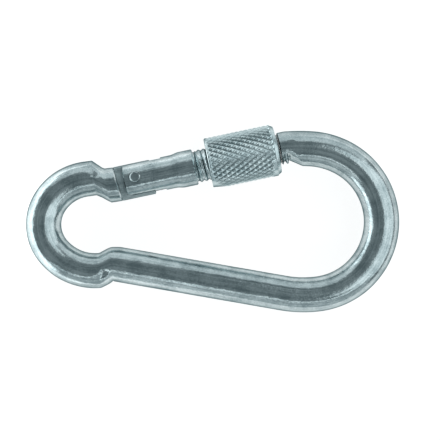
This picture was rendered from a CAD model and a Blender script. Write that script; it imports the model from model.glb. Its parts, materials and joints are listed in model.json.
import json
import math

import bmesh
import bpy
from bpy.props import FloatProperty, FloatVectorProperty, IntProperty, PointerProperty
from bpy.types import Operator, Panel, PropertyGroup
from mathutils import Matrix, Vector, noise


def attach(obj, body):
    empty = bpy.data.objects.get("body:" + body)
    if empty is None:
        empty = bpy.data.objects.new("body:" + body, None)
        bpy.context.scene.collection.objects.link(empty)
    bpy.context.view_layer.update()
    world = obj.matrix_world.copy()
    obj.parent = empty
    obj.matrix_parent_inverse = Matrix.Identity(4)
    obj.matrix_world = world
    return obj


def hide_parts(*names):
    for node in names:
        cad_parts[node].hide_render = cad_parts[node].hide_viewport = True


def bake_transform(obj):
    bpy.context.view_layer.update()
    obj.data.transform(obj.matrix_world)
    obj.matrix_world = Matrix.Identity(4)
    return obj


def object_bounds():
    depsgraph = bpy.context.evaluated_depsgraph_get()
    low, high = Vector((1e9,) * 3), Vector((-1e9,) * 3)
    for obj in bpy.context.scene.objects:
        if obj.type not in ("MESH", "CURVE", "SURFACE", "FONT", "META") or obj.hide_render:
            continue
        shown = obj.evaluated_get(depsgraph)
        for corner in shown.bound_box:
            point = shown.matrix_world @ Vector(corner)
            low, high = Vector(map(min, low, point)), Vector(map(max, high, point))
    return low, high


bl_info = {
    "name": "Screw-lock snap hook",
    "version": (1, 0, 0),
    "blender": (4, 5, 0),
    "location": "View3D > Sidebar > Snap hook",
    "description": "Builds a bent-bar snap hook with a spring gate and a knurled locking sleeve",
    "category": "Mesh",
}

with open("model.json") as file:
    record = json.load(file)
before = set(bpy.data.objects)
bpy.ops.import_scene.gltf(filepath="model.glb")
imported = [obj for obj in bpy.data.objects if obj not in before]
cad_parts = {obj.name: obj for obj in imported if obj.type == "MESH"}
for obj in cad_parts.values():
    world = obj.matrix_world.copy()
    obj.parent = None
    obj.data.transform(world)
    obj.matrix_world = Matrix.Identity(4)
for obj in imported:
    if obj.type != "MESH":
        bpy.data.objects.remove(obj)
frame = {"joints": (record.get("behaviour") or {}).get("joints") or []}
CAD_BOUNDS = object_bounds()
JOINTS = {joint["name"]: joint for joint in frame["joints"]}

# The hinge frame: ALONG runs down the gate towards the nose, ACROSS points away from the spine.
HINGE = Vector(JOINTS["gate_hinge"]["pos_m"])
ALONG = Vector(JOINTS["sleeve_travel"]["axis"]).normalized()
UP = Vector((0.0, 0.0, 1.0))
ACROSS = UP.cross(ALONG)
GATE_TILT = math.atan2(ALONG.y, ALONG.x)

MM = 0.001
SHARP_ANGLE = math.radians(38)
MERGE = 1e-7


def millimetres(name, description, default):
    return FloatProperty(name=name, description=description, default=default * MM, unit="LENGTH", precision=5)


def degrees(name, description, default):
    return FloatProperty(name=name, description=description, default=math.radians(default), unit="ROTATION")


def colour(name, description, default):
    return FloatVectorProperty(name=name, description=description, default=default, subtype="COLOR", size=3,
                               min=0.0, max=1.0)


def spot(name, description, x, y):
    return FloatVectorProperty(name=name, description=description, default=(x * MM, y * MM), size=2,
                               unit="LENGTH", precision=5)


# ------------------------------------------------------------------ sizes and colours

class BarSizes(PropertyGroup):
    """Sizes of the bent bar that makes the hook's body."""
    diameter: millimetres("Bar diameter", "Round bar that the hook is bent from", 5.65)
    spine_x: millimetres("Spine X", "Eye end of the straight spine", -15.21)
    spine_y: millimetres("Spine Y", "Eye end of the straight spine", -7.338)
    spine_heading: degrees("Spine heading", "Straight spine against X", -9.86)
    spine_length: millimetres("Spine length", "Straight part of the spine", 26.97)
    lower_bend_radius: millimetres("Lower bend radius", "Spine into the big bend", 19.2)
    lower_bend_sweep: degrees("Lower bend sweep", "Spine into the big bend", 16.2)
    big_bend_radius: millimetres("Big bend radius", "Big bend", 11.66)
    big_bend_sweep: degrees("Big bend sweep", "Big bend", 143.2)
    upper_bend_radius: millimetres("Upper bend radius", "Big bend into the nose", 12.5)
    upper_bend_sweep: degrees("Upper bend sweep", "Big bend into the nose", 27.9)
    nose_bend_radius: millimetres("Nose bend radius", "Nearly straight nose", 34.4)
    eye_x: millimetres("Eye X", "Upper end of the small eye", -19.01)
    eye_y: millimetres("Eye Y", "Upper end of the small eye", 6.532)
    eye_heading: degrees("Eye heading", "Start of the small eye", 187.83)
    eye_lead: millimetres("Eye lead", "Straight start of the small eye", 1.4)
    eye_upper_radius: millimetres("Upper eye radius", "Upper quarter of the small eye", 8.05)
    eye_upper_sweep: degrees("Upper eye sweep", "Upper quarter of the small eye", 49.6)
    eye_end_radius: millimetres("Eye end radius", "Outer end of the small eye", 6.73)
    eye_end_sweep: degrees("Eye end sweep", "Outer end of the small eye", 73.9)
    eye_lower_radius: millimetres("Lower eye radius", "Lower quarter of the small eye", 8.82)
    eye_lower_sweep: degrees("Lower eye sweep", "Lower quarter of the small eye", 53.3)
    neck_diameter: millimetres("Neck diameter", "Bar between the eye and the hinge", 5.6)
    neck_drop: millimetres("Neck drop", "Neck's middle line below the rivet", 0.46)
    tongue_thickness: millimetres("Tongue thickness", "Flat that the gate turns on", 2.0)
    tongue_end: millimetres("Tongue end", "End of the tongue past the rivet", 2.7)
    shoulder_top: millimetres("Shoulder top", "Shoulder from the rivet, a bar's width above it", -3.44)
    shoulder_bottom: millimetres("Shoulder bottom", "Shoulder from the rivet, a bar's width below it", -2.5)
    neck_start: millimetres("Neck start", "Eye end of the neck from the rivet", -4.6)
    neck_lift: millimetres("Neck lift", "Rise of the neck's middle line at that end", 0.1)
    corner: millimetres("Corner", "Broken corners of the tongue and the shoulder", 0.12)
    upper_offset: spot("Upper offset", "Middle of the bar in the pressed offset above the eye", -17.7, 5.762)
    upper_offset_half: millimetres("Upper offset half", "Half the bar's height there", 2.4)
    lower_offset: spot("Lower offset", "Middle of the bar in the pressed offset below the eye", -17.3, -7.948)
    lower_offset_heading: degrees("Lower offset heading", "Bar against X there", 20)
    lower_offset_half: millimetres("Lower offset half", "Half the bar's height there", 2.6)
    lower_crest: spot("Lower crest", "Middle of the bar where that offset meets the spine", -16.17, -7.268)
    lower_crest_heading: degrees("Lower crest heading", "Bar against X there", 5)
    lower_crest_half: millimetres("Lower crest half", "Half the bar's height there", 2.725)
    upper_mark_start: spot("Upper mark start", "Outer end of the press mark above the eye", -19.5, 8.2)
    upper_mark_end: spot("Upper mark end", "Inner end of the press mark above the eye", -18.7, 6.9)
    lower_mark_start: spot("Lower mark start", "Outer end of the press mark below the eye", -18.3, -10.1)
    lower_mark_end: spot("Lower mark end", "Inner end of the press mark below the eye", -17.1, -8.5)
    mark_reach: millimetres("Mark reach", "Half width of the press marks", 0.95)
    mark_depth: millimetres("Mark depth", "Depth of the press marks", 0.2)
    waviness: millimetres("Waviness", "Unevenness left by drawing and bending the bar", 0.02)


class ThreadSizes(PropertyGroup):
    """Sizes of the threads on the gate, on the nose and in the sleeve."""
    crest: millimetres("Thread crest", "Outer radius of the outside threads", 2.6)
    pitch: millimetres("Pitch", "Thread pitch", 0.8)
    worn_depth: millimetres("Worn depth", "Depth of the gate's worn thread", 0.2)
    nose_depth: millimetres("Nose depth", "Depth of the thread left under the nose", 0.46)
    axis_drop: millimetres("Axis drop", "Gate axis below the rivet", 0.33)
    gate_start: millimetres("Gate thread start", "First groove of the gate's thread", 10.3)
    nose_face: millimetres("Nose face", "Face of the nose", 23.52)
    nose_start: millimetres("Nose thread start", "A groove of the nose's thread", 23.18)
    nose_end: millimetres("Nose thread end", "End of the nose's thread", 24.6)
    taper_start: millimetres("Taper start", "End of the turned part, which tapers up to the bar", 25.07)
    taper_length: millimetres("Taper length", "Length of that taper", 1.75)
    taper_rise: millimetres("Taper rise", "Rise of that taper", 0.27)
    bevel_start: millimetres("Bevel start", "Bevel under the nose, where the die ran out", 24.74)
    bevel_slope: FloatProperty(name="Bevel slope", description="Rise of that bevel for its length",
                               default=0.70)
    bevel_sweep: degrees("Bevel sweep", "How far round the underside the bevel goes", 120)


class GateSizes(PropertyGroup):
    """Sizes of the gate, its rivet and its plunger."""
    radius: millimetres("Gate radius", "Plain part of the gate", 2.675)
    rear: millimetres("Rear face", "Rear face from the rivet", -1.81)
    front: millimetres("Front face", "Front face from the rivet", 23.38)
    collar_start: millimetres("Collar start", "Collar from the rivet", 6.4)
    collar_ramp: millimetres("Collar ramp", "Slope up to the collar", 1.1)
    collar_end: millimetres("Collar end", "Collar from the rivet", 9.68)
    collar_radius: millimetres("Collar radius", "Collar that stops the sleeve", 2.9)
    slot_end: millimetres("Slot end", "Bottom of the slot from the rivet", 4.5)
    slot_width: millimetres("Slot width", "Slot for the tongue", 2.1)
    bore_radius: millimetres("Bore radius", "Bore for the plunger", 1.35)
    bore_end: millimetres("Bore end", "Bottom of the bore from the rivet", 14.0)
    heel_radius: millimetres("Heel radius", "Rear lower corner about the rivet", 2.9)
    rivet_radius: millimetres("Rivet radius", "Rivet's shank", 0.90)
    rivet_head: millimetres("Rivet head", "Radius of the spread head", 0.94)
    rivet_tilt: FloatProperty(name="Rivet tilt", description="Slope of the hammered heads across the gate",
                              default=0.13)
    rivet_half: millimetres("Rivet half length", "Half the rivet's length", 2.6)
    plunger_radius: millimetres("Plunger radius", "Plunger behind the tongue", 1.3)
    plunger_face: millimetres("Plunger face", "Plunger's face from the rivet", 2.78)
    plunger_length: millimetres("Plunger length", "Guided part of the plunger", 3.6)
    spigot_radius: millimetres("Spigot radius", "Spigot inside the spring", 0.7)
    spigot_length: millimetres("Spigot length", "Spigot inside the spring", 1.6)
    edge: millimetres("Edge", "Small chamfers", 0.15)
    wire_radius: millimetres("Wire radius", "Spring wire", 0.2)
    coil_radius: millimetres("Coil radius", "Middle of the spring wire", 1.0)
    coil_rest: millimetres("Coil rest", "Middle of the wire from what the spring rests on", 0.24)
    coil_turns: IntProperty(name="Coil turns", description="Turns of the spring", default=8)


class SleeveSizes(PropertyGroup):
    """Sizes of the locking sleeve and its knurl."""
    rear: millimetres("Rear face", "Rear face from the rivet", 11.89)
    length: millimetres("Length", "Length", 11.25)
    radius: millimetres("Radius", "Over the knurl", 4.168)
    bore: millimetres("Bore", "Crests of the inside thread", 2.68)
    thread_depth: millimetres("Thread depth", "Depth of the inside thread", 0.27)
    rear_edge: millimetres("Rear edge", "Rounded rear edge", 0.3)
    front_band: millimetres("Front band", "Plain band at the front edge", 0.6)
    front_drop: millimetres("Front drop", "Drop of that band", 0.3)
    knurl_depth: millimetres("Knurl depth", "Depth of the diamond knurl", 0.2)
    knurl_lead: millimetres("Knurl spacing", "Spacing of the diamonds along the sleeve", 1.469)
    knurl_count: IntProperty(name="Knurl grooves", description="Grooves of each hand round the sleeve",
                             default=30)
    runout: millimetres("Knurl runout", "How much earlier the knurl stops on the side of the spine", 0.8)
    rubbed_length: millimetres("Rubbed length", "Length of the rubbed patch at the rear", 2.7)
    rubbed_depth: millimetres("Rubbed depth", "Depth of that patch at the rear edge", 0.36)


class ZincFinish(PropertyGroup):
    """Colours of the plated and the plain steel."""
    bright: colour("Bright zinc", "Fresh zinc plating", (0.64, 0.72, 0.73))
    dull: colour("Dull zinc", "Handled and slightly clouded zinc plating", (0.30, 0.37, 0.385))
    knurl_bright: colour("Bright knurl", "Crests of the knurl", (0.68, 0.78, 0.79))
    knurl_dull: colour("Dull knurl", "Clouded part of the knurl", (0.42, 0.52, 0.54))
    tarnish: colour("Tarnish", "Old oil in the bottoms of the knurl's grooves", (0.24, 0.30, 0.31))
    grazing: colour("Grazing tint", "Tint of the plating seen edge on", (0.16, 0.21, 0.22))
    rivet: colour("Rivet", "Hammered rivet head", (0.30, 0.36, 0.37))
    steel: colour("Plain steel", "Oiled steel inside the gate", (0.50, 0.53, 0.55))
    floor: colour("Floor", "Pale studio floor", (0.35, 0.35, 0.35))


# ------------------------------------------------------------------ small mesh tools

def hinge_point(along, across, height=0.0):
    """A point in the row frame from its place in the hinge frame."""
    return HINGE + ALONG * along + ACROSS * across + UP * height


def in_hinge_frame(point):
    """Distance along the gate, above the rivet and out of the hook's plane."""
    offset = point - HINGE
    return offset.dot(ALONG), offset.dot(ACROSS), offset.z


def ring_angles(count, flat_angle, flat_steps):
    """Angles round the bar, with one at each edge of the tongue's two flats."""
    round_steps = count // 2 - flat_steps
    angles = []
    for half_turn in (0.0, math.pi):
        start = half_turn - flat_angle
        for step in range(flat_steps):
            angles.append(start + 2 * flat_angle * step / flat_steps)
        start = half_turn + flat_angle
        sweep = math.pi - 2 * flat_angle
        for step in range(round_steps):
            angles.append(start + sweep * step / round_steps)
    return angles


def section_points(middle, heading, half_height, half_width, angles):
    """A ring of points square to the bar, where the bar runs with that heading in the hook's plane."""
    left = Vector((-math.sin(heading), math.cos(heading), 0.0))
    return [middle + left * (half_height * math.cos(a)) + UP * (half_width * math.sin(a)) for a in angles]


def lay(ring, points):
    for vertex, point in zip(ring, points):
        vertex.co = point


def grow(mesh, ring, points):
    """Extrudes the open end of a tube and lays the new end on the points."""
    count = len(ring)
    edges = [mesh.edges.get((ring[i], ring[(i + 1) % count])) for i in range(count)]
    result = bmesh.ops.extrude_edge_only(mesh, edges=edges)
    fresh = [item for item in result["geom"] if isinstance(item, bmesh.types.BMVert)]
    old = set(ring)
    partner = {}
    for vertex in fresh:
        for edge in vertex.link_edges:
            other = edge.other_vert(vertex)
            if other in old:
                partner[other] = vertex
    new_ring = [partner[vertex] for vertex in ring]
    lay(new_ring, points)
    return new_ring


def start_tube(points):
    """A new mesh with one open ring on the points."""
    mesh = bmesh.new()
    ring = bmesh.ops.create_circle(mesh, cap_ends=False, segments=len(points), radius=1.0)["verts"]
    lay(ring, points)
    return mesh, list(ring)


def close_end(mesh, ring, inward):
    """Caps a tube: the end is drawn in on itself by that share, and the last small hole is filled."""
    middle = sum((vertex.co for vertex in ring), Vector()) / len(ring)
    points = [middle + (vertex.co - middle) * inward for vertex in ring]
    inner = grow(mesh, ring, points)
    mesh.faces.new(inner)


def outward(mesh):
    """Merges the doubles and turns the faces outwards."""
    bmesh.ops.remove_doubles(mesh, verts=mesh.verts, dist=MERGE)
    bmesh.ops.recalc_face_normals(mesh, faces=mesh.faces)


def finish_mesh(mesh, name, sharp=SHARP_ANGLE):
    """Smooth faces with crisp corners, as a new object in the scene."""
    for face in mesh.faces:
        face.smooth = True
    for edge in mesh.edges:
        if len(edge.link_faces) == 2 and edge.calc_face_angle(0.0) > sharp:
            edge.smooth = False
    data = bpy.data.meshes.new(name)
    mesh.to_mesh(data)
    mesh.free()
    piece = bpy.data.objects.new(name, data)
    bpy.context.scene.collection.objects.link(piece)
    return piece


def lathe(corners, steps, drop):
    """Turns a half outline of (along, radius) corners about the gate axis, or the rivet's if drop is None."""
    mesh = bmesh.new()
    if drop is None:
        middle, axis, side = HINGE, UP, ALONG
    else:
        middle, axis, side = hinge_point(0.0, -drop), ALONG, ACROSS
    vertices = [mesh.verts.new(middle + axis * along + side * radius) for along, radius in corners]
    edges = [mesh.edges.new(pair) for pair in zip(vertices, vertices[1:])]
    bmesh.ops.spin(mesh, geom=vertices + edges, cent=middle, axis=axis, dvec=(0, 0, 0), angle=math.tau,
                   steps=steps, use_merge=True, use_duplicate=False)
    bmesh.ops.remove_doubles(mesh, verts=mesh.verts, dist=MERGE / 10)
    bmesh.ops.recalc_face_normals(mesh, faces=mesh.faces)
    return mesh


def about_gate_axis(point, drop):
    """Distance along the gate axis, distance from it and angle round it."""
    along, across, height = in_hinge_frame(point)
    across += drop
    return along, math.hypot(across, height), math.atan2(height, across)


def set_radius(vertex, drop, radius):
    along, now, angle = about_gate_axis(vertex.co, drop)
    vertex.co = hinge_point(along, radius * math.cos(angle) - drop, radius * math.sin(angle))


def thread_groove(along, angle, start, pitch, half_root=0.0625, half_mouth=0.377):
    """Share of the full depth of a right-hand thread's groove, at a place on its cylinder."""
    turn = (along - start) / pitch - angle / math.tau
    off = abs(turn - round(turn))
    return min(1.0, max(0.0, (half_mouth - off) / (half_mouth - half_root)))


def dent(mesh, first, last, reach, depth):
    """Presses a soft groove between two points into the surface near them."""
    line = last - first
    for vertex in mesh.verts:
        share = min(1.0, max(0.0, (vertex.co - first).dot(line) / line.length_squared))
        away = (vertex.co - first - line * share).length / reach
        if away < 1.0:
            vertex.co -= vertex.normal * (depth * (1.0 - away * away) ** 2)


def cut(piece, cutters):
    """Takes the cutters' shapes out of a piece and removes the cutters."""
    for cutter in cutters:
        change = piece.modifiers.new("cut", "BOOLEAN")
        change.operation = "DIFFERENCE"
        change.solver = "EXACT"
        change.object = cutter
    bpy.context.view_layer.update()
    solid = bpy.data.meshes.new_from_object(piece.evaluated_get(bpy.context.evaluated_depsgraph_get()))
    piece.modifiers.clear()
    old = piece.data
    piece.data = solid
    bpy.data.meshes.remove(old)
    for cutter in cutters:
        data = cutter.data
        bpy.data.objects.remove(cutter)
        bpy.data.meshes.remove(data)
    sharpen(piece)


def sharpen(piece):
    """Merges a cut piece's doubles, then smooth faces with crisp corners again."""
    mesh = bmesh.new()
    mesh.from_mesh(piece.data)
    bmesh.ops.remove_doubles(mesh, verts=mesh.verts, dist=2 * MERGE)
    bmesh.ops.dissolve_degenerate(mesh, edges=mesh.edges, dist=MERGE)
    for face in mesh.faces:
        face.smooth = True
    for edge in mesh.edges:
        edge.smooth = len(edge.link_faces) != 2 or edge.calc_face_angle(0.0) < SHARP_ANGLE
    mesh.to_mesh(piece.data)
    mesh.free()


def box_cutter(low, high):
    """A block in the hinge frame, from its low and high corners."""
    mesh = bmesh.new()
    bmesh.ops.create_cube(mesh, size=1.0)
    size = [b - a for a, b in zip(low, high)]
    middle = [(a + b) / 2 for a, b in zip(low, high)]
    bmesh.ops.scale(mesh, vec=size, verts=mesh.verts)
    bmesh.ops.rotate(mesh, cent=(0, 0, 0), matrix=Matrix.Rotation(GATE_TILT, 3, "Z"), verts=mesh.verts)
    bmesh.ops.translate(mesh, vec=hinge_point(*middle), verts=mesh.verts)
    return finish_mesh(mesh, "cutter")


# ------------------------------------------------------------------ materials

def node(tree, kind, place, **inputs):
    """A node at a place, with the values of its sockets."""
    made = tree.nodes.new(kind)
    made.location = place
    for name, value in inputs.items():
        made.inputs[name.replace("_", " ")].default_value = value
    return made


def attribute_of(tree, place, name):
    made = node(tree, "ShaderNodeAttribute", place)
    made.attribute_name = name
    return made


def stretched(tree, place, source, stretch):
    made = node(tree, "ShaderNodeMapping", place, Scale=stretch)
    tree.links.new(source, made.inputs["Vector"])
    return made.outputs["Vector"]


def pattern(tree, place, source, scale, detail, roughness):
    made = node(tree, "ShaderNodeTexNoise", place, Scale=scale, Detail=detail, Roughness=roughness)
    tree.links.new(source, made.inputs["Vector"])
    return made.outputs["Fac"]


def ranged(tree, place, source, low, high, to_low=0.0, to_high=1.0):
    made = node(tree, "ShaderNodeMapRange", place, From_Min=low, From_Max=high, To_Min=to_low, To_Max=to_high)
    tree.links.new(source, made.inputs["Value"])
    return made.outputs["Result"]


def weighted(tree, place, source, weight, added):
    """One socket times a weight, plus another."""
    made = node(tree, "ShaderNodeMath", place)
    made.operation = "MULTIPLY_ADD"
    made.inputs[1].default_value = weight
    tree.links.new(source, made.inputs[0])
    tree.links.new(added, made.inputs[2])
    return made.outputs["Value"]


def bumped(tree, place, source, distance, before=None):
    made = node(tree, "ShaderNodeBump", place, Strength=1.0, Distance=distance)
    tree.links.new(source, made.inputs["Height"])
    if before is not None:
        tree.links.new(before, made.inputs["Normal"])
    return made.outputs["Normal"]


def colour_mix(tree, place, factor):
    made = node(tree, "ShaderNodeMix", place)
    made.data_type = "RGBA"
    tree.links.new(factor, made.inputs["Factor"])
    return made


def plated(name, bright, dull, roughness, streak, grain, unevenness=30e-6):
    """Zinc-plated steel: clouded colour, drawn streaks along the metal, fine grain and handling marks."""
    material = bpy.data.materials.new(name)
    material.use_nodes = True
    tree = material.node_tree
    link = tree.links.new
    shader = tree.nodes["Principled BSDF"]
    shader.inputs["Metallic"].default_value = 1.0
    shader.inputs["Specular Tint"].default_value = (*bpy.context.scene.zinc_finish.grazing, 1.0)

    flow = attribute_of(tree, (-1500, 0), "metal_flow").outputs["Vector"]
    along = stretched(tree, (-1300, 200), flow, (50.0, 2600.0, 2600.0))
    streaks = pattern(tree, (-1000, 300), along, 1.0, 5.0, 0.6)
    clouds = pattern(tree, (-1000, 0), flow, 420.0, 4.0, 0.55)
    pits = pattern(tree, (-1000, -300), flow, 5200.0, 2.0, 0.5)
    dents = pattern(tree, (-1000, -600), flow, 1500.0, 3.0, 0.6)

    cloudy = ranged(tree, (-750, 150), clouds, 0.30, 0.62)
    flecked = weighted(tree, (-750, 550), pits, 1.8, cloudy)
    lined = weighted(tree, (-600, 550), streaks, 3.0, flecked)
    tint = colour_mix(tree, (-450, 300), ranged(tree, (-620, 350), lined, 2.2, 3.7))
    tint.inputs["A"].default_value = (*dull, 1.0)
    tint.inputs["B"].default_value = (*bright, 1.0)
    link(tint.outputs["Result"], shader.inputs["Base Color"])
    link(ranged(tree, (-500, 0), streaks, 0.3, 0.7, roughness * 0.75, roughness * 1.35),
         shader.inputs["Roughness"])

    normal = bumped(tree, (-550, -300), streaks, streak)
    normal = bumped(tree, (-400, -300), dents, unevenness, normal)
    normal = bumped(tree, (-250, -300), pits, grain, normal)
    link(normal, shader.inputs["Normal"])
    return material


def darken_grooves(material, tarnish):
    """Tarnish and old oil in the bottoms of the knurl's grooves."""
    tree = material.node_tree
    shader = tree.nodes["Principled BSDF"]
    groove = attribute_of(tree, (-500, 600), "groove")
    mix = colour_mix(tree, (-100, 400), ranged(tree, (-250, 600), groove.outputs["Fac"], 0.55, 1.0))
    mix.inputs["B"].default_value = (*tarnish, 1.0)
    tree.links.new(shader.inputs["Base Color"].links[0].from_socket, mix.inputs["A"])
    tree.links.new(mix.outputs["Result"], shader.inputs["Base Color"])


def store_flow(piece, values):
    """Keeps each point's place on the straightened metal."""
    layer = piece.data.attributes.new("metal_flow", "FLOAT_VECTOR", "POINT")
    for item, value in zip(layer.data, values):
        item.vector = value


def flow_from_hinge(piece):
    store_flow(piece, [in_hinge_frame(vertex.co) for vertex in piece.data.vertices])


def give(piece, material, slot, body, *nodes):
    """Material, body and the CAD nodes that a piece stands for."""
    piece.data.materials.clear()
    piece.data.materials.append(material)
    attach(piece, body)
    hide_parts(*nodes)


# ------------------------------------------------------------------ the bent bar

RING_COUNT = 96
FLAT_STEPS = 12
OFFSET_SPACING = 0.14 * MM


def bar_route(start, heading, lead, bends, lead_step, bend_step):
    """Places and headings along a straight lead and the bends to the left that follow it."""
    route = []
    steps = max(1, round(lead / lead_step))
    direction = Vector((math.cos(heading), math.sin(heading), 0.0))
    for step in range(steps):
        route.append((start + direction * (lead * step / steps), heading))
    end = start + direction * lead
    for radius, sweep in bends:
        left = Vector((-math.sin(heading), math.cos(heading), 0.0))
        middle = end + left * radius
        steps = max(1, round(sweep / bend_step))
        for step in range(steps):
            turn = Matrix.Rotation(sweep * step / steps, 3, "Z")
            route.append((middle + turn @ (end - middle), heading + sweep * step / steps))
        end = middle + Matrix.Rotation(sweep, 3, "Z") @ (end - middle)
        heading += sweep
    route.append((end, heading))
    return route


def blended(stations, spacing, softness):
    """Stations (x, y, heading, half height) joined by straight runs, with the creases softened."""
    places = []
    for first, last in zip(stations, stations[1:]):
        gap = math.hypot(last[0] - first[0], last[1] - first[1])
        steps = max(2, round(gap / spacing))
        for step in range(steps):
            share = step / steps
            places.append([a + (b - a) * share for a, b in zip(first, last)])
    places.append(list(stations[-1]))
    for _ in range(softness):
        smooth = [places[0]]
        for before, here, after in zip(places, places[1:], places[2:]):
            smooth.append([(a + 2 * b + c) / 4 for a, b, c in zip(before, here, after)])
        smooth.append(places[-1])
        places = smooth
    return places


def nose_limit(along, angle, threads):
    """Radius that the lathe and the die left on the nose; the thread and the bevel are underneath only."""
    root = threads.crest - threads.nose_depth
    front = min(0.0, along - threads.nose_face - 0.15 * MM)
    taper = max(0.0, along - threads.taper_start) / threads.taper_length
    sides = threads.crest + front + threads.taper_rise * taper * taper
    if along > threads.bevel_start:
        below = root + (along - threads.bevel_start) * threads.bevel_slope
    elif along > threads.nose_end:
        below = root
    else:
        groove = thread_groove(along, angle, threads.nose_start - threads.pitch / 2, threads.pitch)
        below = min(threads.crest - threads.nose_depth * groove, threads.crest + front)
    blend = math.radians(14)
    share = (abs(angle) - (math.pi - threads.bevel_sweep / 2) + blend) / (2 * blend)
    share = min(1.0, max(0.0, share))
    share = share * share * (3 - 2 * share)
    return sides + (below - sides) * share


def shoulder_at(across, bar):
    """Where the slanted shoulder is along the gate, at a height above the rivet."""
    reach = bar.neck_diameter
    share = (reach - across) / (2 * reach)
    return bar.shoulder_top + (bar.shoulder_bottom - bar.shoulder_top) * share


def neck_ring(bar, angles, shrink, half_flat=None, shift=0.0, at=None):
    """A ring of the neck or tongue: near the slanted shoulder, or square to the gate at a place along it."""
    radius = bar.neck_diameter / 2 - shrink
    points = []
    for angle in angles:
        across = radius * math.cos(angle) - bar.neck_drop
        height = radius * math.sin(angle)
        if half_flat is not None:
            height = max(-half_flat, min(half_flat, height))
        along = shoulder_at(across, bar) + shift if at is None else at
        points.append(hinge_point(along, across, height))
    return points


def tongue_rings(bar, angles):
    """Rings of the tongue, from its end back to the slanted shoulder."""
    half_flat = bar.tongue_thickness / 2
    corner = bar.corner
    end = bar.tongue_end
    rings = [neck_ring(bar, angles, corner, half_flat - corner, at=end),
             neck_ring(bar, angles, 0.0, half_flat, at=end - corner)]
    for share in (0.25, 0.5, 0.75):
        rings.append(neck_ring(bar, angles, 0.0, half_flat, at=end + (bar.shoulder_bottom - end) * share))
    rings.append(neck_ring(bar, angles, 0.0, half_flat))
    rings.append(neck_ring(bar, angles, corner * 1.5))
    rings.append(neck_ring(bar, angles, 0.0, shift=-corner * 1.5))
    return rings


def offset_rings(stations, softness, bar, angles):
    """Rings through a pressed offset, up to its last station."""
    rings = []
    for x, y, heading, half in blended(stations, OFFSET_SPACING, softness)[:-1]:
        rings.append(section_points(Vector((x, y, HINGE.z)), heading, half, bar.diameter / 2, angles))
    return rings


def make_bar(bar, threads):
    """The hook's body in one mesh, from the tongue round the eye, the spine and the big bend to the nose."""
    radius = bar.diameter / 2
    plane = HINGE.z
    angles = ring_angles(RING_COUNT, math.asin(bar.tongue_thickness / bar.neck_diameter), FLAT_STEPS)
    rings = tongue_rings(bar, angles)

    # pressed offset between the neck and the eye
    neck = hinge_point(bar.neck_start, bar.neck_lift - bar.neck_drop)
    rings += offset_rings([
        (neck.x, neck.y, GATE_TILT, bar.neck_diameter / 2),
        (*bar.upper_offset, 0.0, bar.upper_offset_half),
        (bar.eye_x, bar.eye_y, bar.eye_heading - math.pi, radius),
    ], 4, bar, angles)

    # small eye
    eye = bar_route(Vector((bar.eye_x, bar.eye_y, plane)), bar.eye_heading, bar.eye_lead, [
        (bar.eye_upper_radius, bar.eye_upper_sweep),
        (bar.eye_end_radius, bar.eye_end_sweep),
        (bar.eye_lower_radius, bar.eye_lower_sweep),
    ], 0.4 * MM, math.radians(3.0))
    for middle, heading in eye[:-1]:
        rings.append(section_points(middle, heading - math.pi, radius, radius, angles))

    # pressed offset between the eye and the spine
    foot, foot_heading = eye[-1]
    rings += offset_rings([
        (foot.x, foot.y, foot_heading - math.pi, radius),
        (*bar.lower_offset, math.pi + bar.lower_offset_heading, bar.lower_offset_half),
        (*bar.lower_crest, math.pi + bar.lower_crest_heading, bar.lower_crest_half),
        (bar.spine_x, bar.spine_y, math.pi + bar.spine_heading, radius),
    ], 3, bar, angles)

    # spine and big bend
    spine = bar_route(Vector((bar.spine_x, bar.spine_y, plane)), bar.spine_heading, bar.spine_length, [
        (bar.lower_bend_radius, bar.lower_bend_sweep),
        (bar.big_bend_radius, bar.big_bend_sweep),
        (bar.upper_bend_radius, bar.upper_bend_sweep),
    ], 1.2 * MM, math.radians(2.5))
    for middle, heading in spine[:-1]:
        rings.append(section_points(middle, heading + math.pi, radius, radius, angles))

    rings += nose_rings(bar, threads, spine[-1], angles)
    return tube_through(rings, angles, bar, threads)


def nose_rings(bar, threads, start, angles):
    """Rings along the nearly straight nose, which turn square to the gate and close up at the thread."""
    point, heading = start
    left = Vector((-math.sin(heading), math.cos(heading), 0.0))
    along, across, _ = in_hinge_frame(point + left * bar.nose_bend_radius)
    first = in_hinge_frame(point)[0]
    square_from = threads.bevel_start + 2.4 * MM
    fine_from = threads.bevel_start + 0.9 * MM
    steps = 5
    coarse = 0.2 * MM
    fine = 0.05 * MM

    places = [first + (square_from - first) * step / steps for step in range(steps)]
    while places[-1] > fine_from:
        places.append(max(places[-1] - coarse, fine_from))
    last = places[-1]
    count = round((last - threads.nose_face) / fine)
    places += [last + (threads.nose_face - last) * step / count for step in range(1, count + 1)]

    rings = []
    for place in places:
        rise = math.sqrt(bar.nose_bend_radius ** 2 - (place - along) ** 2)
        lean = math.asin((along - place) / bar.nose_bend_radius)
        share = min(1.0, max(0.0, (first - place) / (first - square_from)))
        half = bar.diameter / 2 / math.cos(lean * share)
        rings.append(section_points(hinge_point(place, across + rise), GATE_TILT + lean * (1.0 - share),
                                    half, bar.diameter / 2, angles))
    return rings


def turn_nose(mesh, bar, threads):
    """Turns the nose down to its thread, taper and bevel."""
    for vertex in mesh.verts:
        along, out, angle = about_gate_axis(vertex.co, threads.axis_drop)
        if threads.nose_face - MM < along < threads.bevel_start + 3 * MM and out < bar.diameter:
            limit = nose_limit(along, angle, threads)
            if out > limit:
                set_radius(vertex, threads.axis_drop, limit)
    mesh.normal_update()


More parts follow.
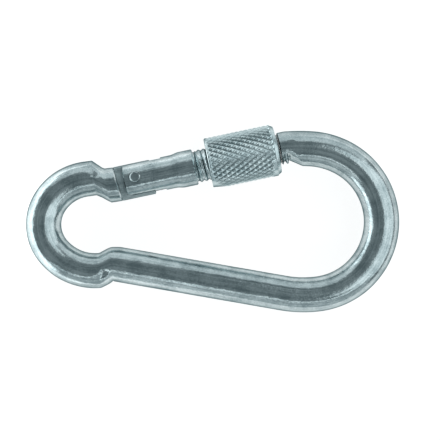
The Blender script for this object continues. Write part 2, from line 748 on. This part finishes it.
def press_marks(mesh, bar):
    """Marks of the press on both sides of the two offsets."""
    marks = ((bar.upper_mark_start, bar.upper_mark_end), (bar.lower_mark_start, bar.lower_mark_end))
    for start, end in marks:
        for side in (1, -1):
            height = HINGE.z + side * bar.diameter / 2 * 0.93
            dent(mesh, Vector((*start, height)), Vector((*end, height)), bar.mark_reach, bar.mark_depth)
    mesh.normal_update()


def wave(mesh, bar, threads):
    """Slight unevenness of the drawn bar, away from the places where it fits the gate and the sleeve."""
    for vertex in mesh.verts:
        along, out, _ = about_gate_axis(vertex.co, threads.axis_drop)
        near_fits = out < bar.diameter and (-5.5 * MM < along < 3 * MM or along > 23 * MM)
        if not near_fits:
            swell = noise.noise(vertex.co * 260.0) - 0.35
            vertex.co += vertex.normal * (bar.waviness * min(0.0, swell))


def tube_through(rings, angles, bar, threads):
    """One closed tube through the rings, turned down at the nose, marked at the offsets and slightly wavy."""
    radius = bar.diameter / 2
    mesh, ring = start_tube(rings[0])
    first = ring
    travel = 0.0
    middle = sum(rings[0], Vector()) / len(rings[0])
    flow = {}
    for vertex, angle in zip(ring, angles):
        flow[vertex] = (travel, radius * math.cos(angle), radius * math.sin(angle))
    for points in rings[1:]:
        ring = grow(mesh, ring, points)
        here = sum(points, Vector()) / len(points)
        travel += (here - middle).length
        middle = here
        for vertex, angle in zip(ring, angles):
            flow[vertex] = (travel, radius * math.cos(angle), radius * math.sin(angle))
    close_end(mesh, ring, 0.35)
    close_end(mesh, first, 0.35)
    bmesh.ops.recalc_face_normals(mesh, faces=mesh.faces)
    turn_nose(mesh, bar, threads)
    press_marks(mesh, bar)
    wave(mesh, bar, threads)
    values = [flow.get(vertex, (0.0, vertex.co.y, vertex.co.z)) for vertex in mesh.verts]
    piece = finish_mesh(mesh, "hook_bar")
    store_flow(piece, values)
    return piece


def on_tongue_flat(face, bar):
    """Whether a face of the bar is on one of the tongue's two milled flats."""
    along, across, height = in_hinge_frame(face.center)
    near = abs(along) < bar.neck_diameter and abs(across) < bar.neck_diameter
    return near and abs(face.normal.z) > 0.99 and abs(height) < 0.6 * bar.tongue_thickness


# ------------------------------------------------------------------ operators

def zinc(context, name, roughness=0.14, streak=18e-6, grain=5e-6):
    finish = context.scene.zinc_finish
    return plated(name, finish.bright, finish.dull, roughness, streak, grain)


class SNAPHOOK_OT_bar(Operator):
    """Builds the bent bar with its eye, tongue and threaded nose"""
    bl_idname = "snaphook.bar"
    bl_label = "Hook body"

    def execute(self, context):
        bar = context.scene.bar_sizes
        threads = context.scene.thread_sizes
        piece = make_bar(bar, threads)
        give(piece, zinc(context, "drawn zinc-plated bar"), "hook_zinc", "hook", "hook_body")
        piece.data.materials.append(zinc(context, "milled tongue zinc", 0.5, 60e-6, 20e-6))
        for face in piece.data.polygons:
            face.material_index = int(on_tongue_flat(face, bar))
        return {"FINISHED"}


SEAT_GAP = 0.015 * MM


class SNAPHOOK_OT_gate(Operator):
    """Builds the gate: turned, threaded, slotted for the tongue and bored for the plunger"""
    bl_idname = "snaphook.gate"
    bl_label = "Gate"

    def execute(self, context):
        sizes = context.scene.gate_sizes
        threads = context.scene.thread_sizes
        bar = context.scene.bar_sizes
        drop = threads.axis_drop
        edge = sizes.edge
        root = threads.crest - threads.worn_depth
        first = threads.gate_start - threads.pitch / 2
        corners = [(sizes.rear, 0.0), (sizes.rear, sizes.radius - edge), (sizes.rear + edge, sizes.radius)]
        corners += [(sizes.collar_start - sizes.collar_ramp / 4, sizes.radius),
                    (sizes.collar_start, sizes.radius + (sizes.collar_radius - sizes.radius) * 0.12),
                    (sizes.collar_start + sizes.collar_ramp * 0.75, sizes.collar_radius - 0.02 * MM),
                    (sizes.collar_start + sizes.collar_ramp, sizes.collar_radius),
                    (sizes.collar_end - edge, sizes.collar_radius),
                    (sizes.collar_end, sizes.collar_radius - edge),
                    (sizes.collar_end, root), (first, root)]
        steps = round((sizes.front - first) / (0.05 * MM))
        corners += [(first + (sizes.front - first) * (step + 0.02) / (steps + 0.02), threads.crest)
                    for step in range(steps + 1)]
        corners.append((sizes.front, 0.0))
        mesh = lathe(corners, RING_COUNT, drop)
        for vertex in mesh.verts:
            along, out, angle = about_gate_axis(vertex.co, drop)
            if along > first and out > root:
                groove = thread_groove(along, angle, threads.gate_start, threads.pitch)
                front = min(0.0, sizes.front - 2 * edge - along)
                rear = min(0.0, along - first - 2 * edge)
                radius = min(threads.crest - threads.worn_depth * groove, threads.crest + front,
                             threads.crest + rear)
                set_radius(vertex, drop, max(root - 2 * edge, radius))
        outward(mesh)
        piece = finish_mesh(mesh, "gate_tube")
        reach = 2 * sizes.collar_radius
        slot = box_cutter((sizes.rear - reach, -reach, -sizes.slot_width / 2),
                          (sizes.slot_end, reach, sizes.slot_width / 2))
        bore_tip = sizes.bore_end + sizes.bore_radius / 2
        bore_mesh = lathe([(sizes.rear - reach, 0.0), (sizes.rear - reach, sizes.bore_radius),
                           (sizes.bore_end, sizes.bore_radius), (bore_tip, 0.0)], 48, drop)
        outward(bore_mesh)
        bore = finish_mesh(bore_mesh, "cutter")
        top = sizes.radius + MM
        seat_radius = sizes.rivet_head + SEAT_GAP
        seat_mesh = lathe([(-top, 0.0), (-top, seat_radius), (top, seat_radius), (top, 0.0)], 64, None)
        outward(seat_mesh)
        seat = finish_mesh(seat_mesh, "cutter")
        cut(piece, [slot, bore, seat, heel_cutter(sizes)])
        flow_from_hinge(piece)
        give(piece, zinc(context, "drawn zinc-plated gate"), "gate_zinc", "gate", "gate")
        return {"FINISHED"}


def rivet_face(sizes):
    """Half outline of one hammered head: a flat face inside a raised ring."""
    head = sizes.rivet_head
    top = sizes.rivet_half
    sunk = 0.10 * MM
    return [(top - 2.5 * sunk, sizes.rivet_radius), (top - sunk, head), (top - 0.2 * sunk, head * 0.95),
            (top, head * 0.88), (top - 0.3 * sunk, head * 0.82), (top - 0.9 * sunk, head * 0.74),
            (top - sunk, head * 0.68), (top - sunk, 0.0)]


def heel_cutter(sizes):
    """What is taken off the gate's rear lower corner, which swings past the shoulder."""
    radius = sizes.heel_radius
    first = math.pi + math.acos(-sizes.rear / radius)
    steps = 24
    mesh = bmesh.new()
    places = [(radius * math.cos(a), radius * math.sin(a))
              for a in (first + (1.5 * math.pi - first) * step / steps for step in range(steps + 1))]
    deep = -2 * radius
    places += [(-sizes.rear / 2, -radius - 0.2 * MM), (-sizes.rear / 2, deep), (2 * sizes.rear, deep),
               (2 * sizes.rear, places[0][1])]
    reach = 2 * radius
    corners = [mesh.verts.new(hinge_point(x, y, -reach)) for x, y in places]
    face = mesh.faces.new(corners)
    grown = bmesh.ops.extrude_face_region(mesh, geom=[face])
    moved = [item for item in grown["geom"] if isinstance(item, bmesh.types.BMVert)]
    bmesh.ops.translate(mesh, vec=(0, 0, 2 * reach), verts=moved)
    outward(mesh)
    return finish_mesh(mesh, "cutter")


class SNAPHOOK_OT_rivet(Operator):
    """Builds the hinge rivet with its spread, hammered heads"""
    bl_idname = "snaphook.rivet"
    bl_label = "Hinge rivet"

    def execute(self, context):
        sizes = context.scene.gate_sizes
        face = rivet_face(sizes)
        mesh = lathe([(-along, radius) for along, radius in reversed(face)] + face, 64, None)
        for vertex in mesh.verts:
            _, across, height = in_hinge_frame(vertex.co)
            if abs(height) > sizes.rivet_half / 2:
                vertex.co.z -= math.copysign(across * sizes.rivet_tilt, height)
        outward(mesh)
        piece = finish_mesh(mesh, "rivet_pin")
        flow_from_hinge(piece)
        finish = context.scene.zinc_finish
        metal = plated("hammered rivet steel", finish.dull, finish.rivet, 0.34, 2e-6, 6e-6)
        give(piece, zinc(context, "rivet ring zinc"), "rivet_steel", "gate", "hinge_rivet")
        piece.data.materials.append(metal)
        inside = 0.7 * sizes.rivet_head
        for face in piece.data.polygons:
            along, across, _ = in_hinge_frame(face.center)
            face.material_index = int(abs(face.normal.z) > 0.95 and math.hypot(along, across) < inside)
        return {"FINISHED"}


class SNAPHOOK_OT_plunger(Operator):
    """Builds the plunger that holds the gate shut"""
    bl_idname = "snaphook.plunger"
    bl_label = "Plunger"

    def execute(self, context):
        sizes = context.scene.gate_sizes
        edge = 2 * sizes.edge
        shoulder = sizes.plunger_face + sizes.plunger_length
        end = shoulder + sizes.spigot_length
        spigot = sizes.spigot_radius
        radius = sizes.plunger_radius
        corners = [(sizes.plunger_face, 0.0), (sizes.plunger_face, radius - edge),
                   (sizes.plunger_face + edge, radius), (shoulder - edge / 4, radius),
                   (shoulder, radius - edge / 4), (shoulder, spigot), (end - edge / 2, spigot),
                   (end, spigot - edge / 2), (end, 0.0)]
        mesh = lathe(corners, 64, context.scene.thread_sizes.axis_drop)
        outward(mesh)
        piece = finish_mesh(mesh, "plunger_pin")
        flow_from_hinge(piece)
        finish = context.scene.zinc_finish
        metal = plated("turned plunger steel", finish.steel, finish.dull, 0.3, 3e-6, 1e-6)
        give(piece, metal, "plunger_steel", "plunger", "spring_plunger")
        return {"FINISHED"}


COIL_STEPS = 32
WIRE_SIDES = 12


class SNAPHOOK_OT_spring(Operator):
    """Winds the spring behind the plunger; it shortens as the plunger comes back"""
    bl_idname = "snaphook.spring"
    bl_label = "Gate spring"

    def execute(self, context):
        sizes = context.scene.gate_sizes
        drop = context.scene.thread_sizes.axis_drop
        front = sizes.plunger_face + sizes.plunger_length + sizes.coil_rest
        rear = sizes.bore_end - sizes.coil_rest
        outline = []
        for side in range(WIRE_SIDES):
            angle = math.tau * side / WIRE_SIDES
            outline.append(hinge_point(front + sizes.wire_radius * math.cos(angle),
                                       sizes.coil_radius + sizes.wire_radius * math.sin(angle) - drop))
        mesh, ring = start_tube(outline)
        steps = sizes.coil_turns * COIL_STEPS
        bmesh.ops.spin(mesh, geom=ring + list(mesh.edges), cent=hinge_point(front, -drop), axis=ALONG,
                       dvec=ALONG * ((rear - front) / steps), angle=math.tau * sizes.coil_turns, steps=steps,
                       use_merge=False, use_duplicate=False)
        ends = [edge for edge in mesh.edges if edge.is_boundary]
        bmesh.ops.holes_fill(mesh, edges=ends, sides=WIRE_SIDES)
        outward(mesh)
        piece = finish_mesh(mesh, "spring_coil")
        flow_from_hinge(piece)
        finish = context.scene.zinc_finish
        piece.data.materials.append(plated("spring wire", finish.steel, finish.dull, 0.28, 2e-6, 1e-6))
        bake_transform(piece)
        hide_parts("gate_spring")
        return {"FINISHED"}


class SNAPHOOK_OT_sleeve(Operator):
    """Builds the locking sleeve with its diamond knurl and inside thread"""
    bl_idname = "snaphook.sleeve"
    bl_label = "Locking sleeve"

    def execute(self, context):
        sizes = context.scene.sleeve_sizes
        threads = context.scene.thread_sizes
        piece = make_sleeve(sizes, threads)
        finish = context.scene.zinc_finish
        metal = plated("knurled zinc-plated sleeve", finish.knurl_bright, finish.knurl_dull, 0.24, 1.5e-6,
                       1.0e-6)
        darken_grooves(metal, finish.tarnish)
        give(piece, metal, "sleeve_zinc", "sleeve", "screw_sleeve")
        return {"FINISHED"}


KNURL_STEPS = 8


def knurl_depth_at(along, angle, sizes):
    """Share of the knurl's depth: two families of V grooves, worn a little flat on their crests."""
    run = along / sizes.knurl_lead
    turn = angle * sizes.knurl_count / math.tau
    deepest = 0.0
    for phase in (turn + run, turn - run):
        off = abs(phase - round(phase))
        deepest = max(deepest, 1.0 - 2.0 * off)
    return max(0.10, deepest) ** 1.25


def rubbed(along, angle, sizes):
    """Depth of the rubbed patch on the side of the spine, which fades out along the sleeve."""
    side = max(0.0, -math.cos(angle) - 0.45) / 0.55
    return sizes.rubbed_depth * side * max(0.0, 1.0 - (along - sizes.rear) / sizes.rubbed_length)


def knurled_radius(along, angle, sizes):
    """Radius of the knurled surface and how deep its groove is there, from 0 to 1."""
    start = sizes.rear + sizes.rear_edge
    end = sizes.rear + sizes.length - sizes.front_band
    toward_spine = max(0.0, -math.cos(angle))
    fade = min(1.0, (along - start) / sizes.rear_edge + 0.25,
               (end - sizes.runout * toward_spine - along) / (sizes.rear_edge * 0.6))
    depth = knurl_depth_at(along - start, angle, sizes) * max(0.0, fade)
    worn = rubbed(along, angle, sizes)
    if worn > sizes.knurl_depth * depth:
        return sizes.radius - worn, 0.0
    return sizes.radius - sizes.knurl_depth * depth, depth


def make_sleeve(sizes, threads):
    drop = threads.axis_drop
    front = sizes.rear + sizes.length
    mouth = sizes.bore + sizes.thread_depth
    edge = sizes.rear_edge
    band = sizes.front_band
    outer = sizes.radius
    knurl_start = sizes.rear + edge
    knurl_end = front - band
    steps = round((knurl_end - knurl_start) / sizes.knurl_lead * KNURL_STEPS)
    corners = [(sizes.rear, mouth), (sizes.rear, outer - edge),
               (sizes.rear + edge * 0.13, outer - edge * 0.5),
               (sizes.rear + edge * 0.5, outer - edge * 0.13)]
    corners += [(knurl_start + (knurl_end - knurl_start) * step / steps, outer) for step in range(steps + 1)]
    corners += [(knurl_end + band * 0.08, outer - sizes.front_drop * 0.45),
                (front - band * 0.15, outer - sizes.front_drop * 1.25),
                (front - band * 0.04, outer - sizes.front_drop * 1.45),
                (front, outer - sizes.front_drop * 1.8), (front, mouth)]
    bore_start = front - sizes.thread_depth
    bore_run = sizes.length - 2 * sizes.thread_depth
    parts = round(bore_run / (0.1 * MM)) + 1
    corners += [(bore_start - bore_run * part / parts, sizes.bore) for part in range(parts)]
    corners += [(sizes.rear + sizes.thread_depth, sizes.bore), corners[0]]
    mesh = lathe(corners, sizes.knurl_count * KNURL_STEPS, drop)
    outward(mesh)
    knurled = []
    margin = MERGE
    for face in mesh.faces:
        places = [about_gate_axis(vertex.co, drop) for vertex in face.verts]
        if all(out > outer - margin and knurl_start - margin < along < knurl_end + margin
               for along, out, _ in places):
            knurled.append(face)
    bmesh.ops.poke(mesh, faces=knurled)
    for vertex in mesh.verts:
        along, out, angle = about_gate_axis(vertex.co, drop)
        if out > outer * 0.999 and knurl_start - margin < along < knurl_end + margin:
            set_radius(vertex, drop, knurled_radius(along, angle, sizes)[0])
        elif along < knurl_start and out > mouth + margin:
            set_radius(vertex, drop, min(out, outer - rubbed(along, angle, sizes)))
        elif abs(out - sizes.bore) < margin * 10:
            groove = thread_groove(along, angle, sizes.rear - threads.pitch / 2, threads.pitch)
            set_radius(vertex, drop, sizes.bore + sizes.thread_depth * groove)
    bmesh.ops.recalc_face_normals(mesh, faces=mesh.faces)
    piece = finish_mesh(mesh, "sleeve_shell", math.radians(24))
    flow_from_hinge(piece)
    layer = piece.data.attributes.new("groove", "FLOAT", "POINT")
    for item, vertex in zip(layer.data, piece.data.vertices):
        along, out, angle = about_gate_axis(vertex.co, drop)
        if out > sizes.radius - 1.2 * sizes.knurl_depth and knurl_start < along < knurl_end:
            item.value = knurled_radius(along, angle, sizes)[1]
    return piece


# ------------------------------------------------------------------ stage

FLOOR_HALF = 1.5
FLOOR_GLOW = 0.85
SKY_COLOUR = (0.80, 0.95, 1.0, 1.0)
SKY_STRENGTH = 0.26
PANEL_COLOUR = (0.93, 0.985, 1.0)
PANEL_DISTANCE = 0.6
VIEW_WIDTH = 70.7 * MM
VIEW_SHIFT = (1.2 * MM, -0.22 * MM)
# name, bearing, lowest and highest elevation, half width (degrees), brightness
PANELS = (
    ("left panel", 180, -2, 24, 48, 1.75),
    ("right panel", 0, 12, 76, 34, 0.86),
    ("back panel", 90, -2, 44, 46, 0.54),
    ("front panel", 270, -2, 37, 46, 0.34),
    ("front strip", 270, 42, 46, 40, 1.8),
)


def floor_paint(finish):
    """Matt floor that glows enough to look white, and more so to the left of the small eye."""
    paint = bpy.data.materials.new("matt floor")
    paint.use_nodes = True
    tree = paint.node_tree
    shader = tree.nodes["Principled BSDF"]
    shader.inputs["Base Color"].default_value = (*finish.floor, 1.0)
    shader.inputs["Roughness"].default_value = 0.9
    shader.inputs["Specular IOR Level"].default_value = 0.1
    shader.inputs["Emission Color"].default_value = (1.0, 1.0, 1.0, 1.0)
    place = node(tree, "ShaderNodeTexCoord", (-900, 0))
    apart = node(tree, "ShaderNodeSeparateXYZ", (-700, 0))
    tree.links.new(place.outputs["Object"], apart.inputs["Vector"])
    eye_end = CAD_BOUNDS[0][0]
    glow = ranged(tree, (-400, 0), apart.outputs["X"], eye_end - 6 * MM, eye_end + 4 * MM, 2 * FLOOR_GLOW,
                  FLOOR_GLOW)
    tree.links.new(glow, shader.inputs["Emission Strength"])
    return paint


def add_panel(scene, name, bearing, low, high, half_width, brightness):
    """A soft box that fills a range of bearings and elevations as seen from the object."""
    half_height = PANEL_DISTANCE * math.tan(math.radians(high - low) / 2)
    width = 2 * PANEL_DISTANCE * math.tan(math.radians(half_width))
    lamp = bpy.data.lights.new(name, "AREA")
    lamp.shape = "RECTANGLE"
    lamp.size = width
    lamp.size_y = 2 * half_height
    lamp.energy = brightness * math.pi * lamp.size * lamp.size_y
    lamp.color = PANEL_COLOUR
    box = bpy.data.objects.new(name, lamp)
    turn = math.radians(bearing)
    rise = math.radians(low + high) / 2
    toward = Vector((math.cos(turn) * math.cos(rise), math.sin(turn) * math.cos(rise), math.sin(rise)))
    box.location = toward * PANEL_DISTANCE
    box.rotation_euler = toward.to_track_quat("Z", "Y").to_euler()
    scene.collection.objects.link(box)


def add_camera(scene):
    """A long lens straight above the hook."""
    camera = bpy.data.cameras.new("camera")
    camera.lens = 100.0
    camera.sensor_width = 36.0
    camera.clip_start = 0.01
    stand = bpy.data.objects.new("camera", camera)
    middle = (Vector(CAD_BOUNDS[0]) + Vector(CAD_BOUNDS[1])) / 2
    distance = VIEW_WIDTH * camera.lens / camera.sensor_width + HINGE.z
    stand.location = (middle.x + VIEW_SHIFT[0], middle.y + VIEW_SHIFT[1], distance)
    scene.collection.objects.link(stand)
    scene.camera = stand


class SNAPHOOK_OT_stage(Operator):
    """Sets the pale floor, the soft studio lights and the camera"""
    bl_idname = "snaphook.stage"
    bl_label = "Stage"

    def execute(self, context):
        scene = context.scene
        mesh = bmesh.new()
        bmesh.ops.create_grid(mesh, x_segments=2, y_segments=2, size=FLOOR_HALF)
        floor = finish_mesh(mesh, "floor")
        floor.data.materials.append(floor_paint(scene.zinc_finish))
        for panel in PANELS:
            add_panel(scene, *panel)
        world = bpy.data.worlds.new("studio")
        world.use_nodes = True
        sky = world.node_tree.nodes["Background"]
        sky.inputs["Color"].default_value = SKY_COLOUR
        sky.inputs["Strength"].default_value = SKY_STRENGTH
        scene.world = world
        scene.view_settings.view_transform = "Standard"
        add_camera(scene)
        return {"FINISHED"}


OPERATORS = (SNAPHOOK_OT_bar, SNAPHOOK_OT_gate, SNAPHOOK_OT_rivet, SNAPHOOK_OT_plunger, SNAPHOOK_OT_spring,
             SNAPHOOK_OT_sleeve, SNAPHOOK_OT_stage)


class SNAPHOOK_PT_build(Panel):
    """Lists the steps that build the snap hook"""
    bl_idname = "SNAPHOOK_PT_build"
    bl_label = "Snap hook"
    bl_space_type = "VIEW_3D"
    bl_region_type = "UI"
    bl_category = "Snap hook"

    def draw(self, context):
        column = self.layout.column()
        for step in OPERATORS:
            column.operator(step.bl_idname, text=step.bl_label)


GROUPS = (("bar_sizes", BarSizes), ("thread_sizes", ThreadSizes), ("gate_sizes", GateSizes),
          ("sleeve_sizes", SleeveSizes), ("zinc_finish", ZincFinish))


def register():
    for name, group in GROUPS:
        bpy.utils.register_class(group)
        setattr(bpy.types.Scene, name, PointerProperty(type=group))
    for step in OPERATORS:
        bpy.utils.register_class(step)
    bpy.utils.register_class(SNAPHOOK_PT_build)


def unregister():
    bpy.utils.unregister_class(SNAPHOOK_PT_build)
    for step in reversed(OPERATORS):
        bpy.utils.unregister_class(step)
    for name, group in reversed(GROUPS):
        delattr(bpy.types.Scene, name)
        bpy.utils.unregister_class(group)


def main():
    register()
    bpy.ops.snaphook.bar()
    bpy.ops.snaphook.gate()
    bpy.ops.snaphook.rivet()
    bpy.ops.snaphook.plunger()
    bpy.ops.snaphook.spring()
    bpy.ops.snaphook.sleeve()
    bpy.ops.snaphook.stage()


if __name__ == "__main__":
    main()
